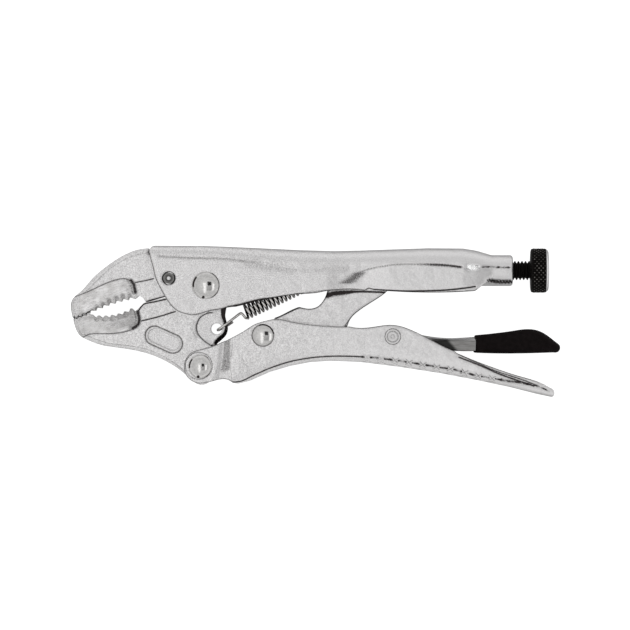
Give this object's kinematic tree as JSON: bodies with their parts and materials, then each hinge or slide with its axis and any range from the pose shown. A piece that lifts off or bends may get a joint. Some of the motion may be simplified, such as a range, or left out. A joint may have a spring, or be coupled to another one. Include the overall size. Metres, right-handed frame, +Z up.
{
  "type": "locking pliers",
  "caption": "Curved-jaw locking pliers with a toggle link, release lever, jaw spring and knurled adjusting screw, closed and lying on their side.",
  "frame": {"origin": "the middle of the outline, on the surface that the pliers lie on", "axes": "+X from the jaws to the knob, +Y from the lower handle to the upper handle, +Z up, along the rivets"},
  "size_m": [0.2547, 0.0789, 0.0231],
  "materials": {
    "nickel_plate": "blasted satin nickel plate",
    "polished_rivet": "polished",
    "dark_steel": "bare rolled steel",
    "spring_wire": "drawn wire",
    "black_oxide": "black oxide, satin",
    "black_vinyl": "soft vinyl, semi-matt"
  },
  "bodies": {
    "frame": {"fixed_handle": "nickel_plate", "fixed_jaw": "nickel_plate", "fixed_jaw_pin": "dark_steel", "main_pivot_rivet": "polished_rivet", "jaw_spring": "spring_wire"},
    "moving_jaw": {"lower_jaw": "nickel_plate"},
    "moving_handle": {"lower_handle": "nickel_plate", "jaw_handle_rivet": "polished_rivet", "link_rivet": "polished_rivet", "release_lever_rivet": "polished_rivet"},
    "link": {"toggle_link": "nickel_plate"},
    "release": {"release_lever": "dark_steel", "lever_sleeve": "black_vinyl"},
    "screw": {"adjusting_screw": "black_oxide"},
    "knob": {"screw_knob": "black_oxide"}
  },
  "joints": [
    {"name": "jaw_pivot", "type": "hinge", "parent": "frame", "child": "moving_jaw", "pos_m": [-0.05719, 0.01873, 0.01155], "axis": [0, 0, 1], "range_deg": [0, 20], "deforming": ["jaw_spring"]},
    {"name": "handle_pivot", "type": "hinge", "parent": "moving_jaw", "child": "moving_handle", "pos_m": [-0.06005, -0.02344, 0.01155], "axis": [0, 0, 1], "range_deg": [-70, 0]},
    {"name": "link_pivot", "type": "hinge", "parent": "moving_handle", "child": "link", "pos_m": [-0.02745, -0.00727, 0.01155], "axis": [0, 0, 1], "range_deg": [0, 81]},
    {"name": "release_lever_pivot", "type": "hinge", "parent": "moving_handle", "child": "release", "pos_m": [0.04001, -0.00787, 0.01155], "axis": [0, 0, 1], "range_deg": [-10, 0]},
    {"name": "screw_travel", "type": "slide", "parent": "frame", "child": "screw", "axis": [1, 0, 0], "range_m": [0, 0.0185]},
    {"name": "knob_turn", "type": "hinge", "parent": "screw", "child": "knob", "pos_m": [0.11581, 0.02648, 0.01155], "axis": [1, 0, 0], "range_deg": [0, 3600]}
  ],
  "couplings": [
    {"joint": "jaw_pivot", "follows": "handle_pivot", "ratio": -0.28571},
    {"joint": "link_pivot", "follows": "handle_pivot", "ratio": -1.1571},
    {"joint": "knob_turn", "follows": "screw_travel", "rad_per_m": 3396.3}
  ]
}
